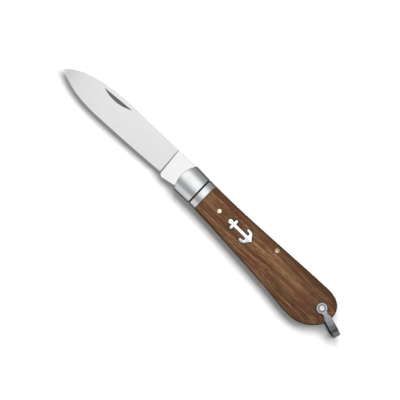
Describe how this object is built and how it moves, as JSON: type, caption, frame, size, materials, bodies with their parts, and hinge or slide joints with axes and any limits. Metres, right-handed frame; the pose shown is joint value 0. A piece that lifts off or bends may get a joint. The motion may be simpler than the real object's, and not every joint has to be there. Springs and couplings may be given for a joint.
{
  "type": "rigging knife",
  "caption": "Slip-joint sailor's knife with a folding spear-point blade, steel bolsters, wooden scales, an anchor inlay and a swinging shackle.",
  "frame": {"origin": "centre of the underside of the bounding box: the knife lies on its right side with the blade open", "axes": "+X from the blade's tip to the shackle, +Y from the edge to the spine, +Z out of the left side, which has the nail nick and the anchor"},
  "size_m": [0.204, 0.0246, 0.0166],
  "materials": {
    "blade_steel": "satin ground faces, polished ricasso",
    "bolster_steel": "polished",
    "spring_steel": "satin",
    "liner_steel": "satin",
    "shackle_steel": "tumbled",
    "brass": "polished",
    "nickel_silver": "polished",
    "wood": "oiled walnut"
  },
  "bodies": {
    "handle": {"backspring": "spring_steel", "liner_left": "liner_steel", "liner_right": "liner_steel", "bolster_left": "bolster_steel", "bolster_right": "bolster_steel", "bolster_pin_spine_left": "spring_steel", "bolster_pin_belly_left": "spring_steel", "bolster_pin_spine_right": "spring_steel", "bolster_pin_belly_right": "spring_steel", "scale_left": "wood", "scale_right": "wood", "anchor_inlay": "nickel_silver", "scale_pin_left": "brass", "scale_pin_right": "brass", "spring_pin": "brass", "pivot_pin": "bolster_steel", "shackle_rivet": "shackle_steel"},
    "blade": {"blade": "blade_steel"},
    "shackle": {"shackle": "shackle_steel"}
  },
  "joints": [
    {"name": "blade_fold", "type": "hinge", "parent": "handle", "child": "blade", "pos_m": [-0.01157, 0.00138, 0.0083], "axis": [0, 0, 1], "range_deg": [0, 173], "deforming": ["backspring"]},
    {"name": "shackle_swing", "type": "hinge", "parent": "handle", "child": "shackle", "pos_m": [0.08493, 0.00248, 0.0083], "axis": [0, 0, 1], "range_deg": [-90, 150]}
  ]
}
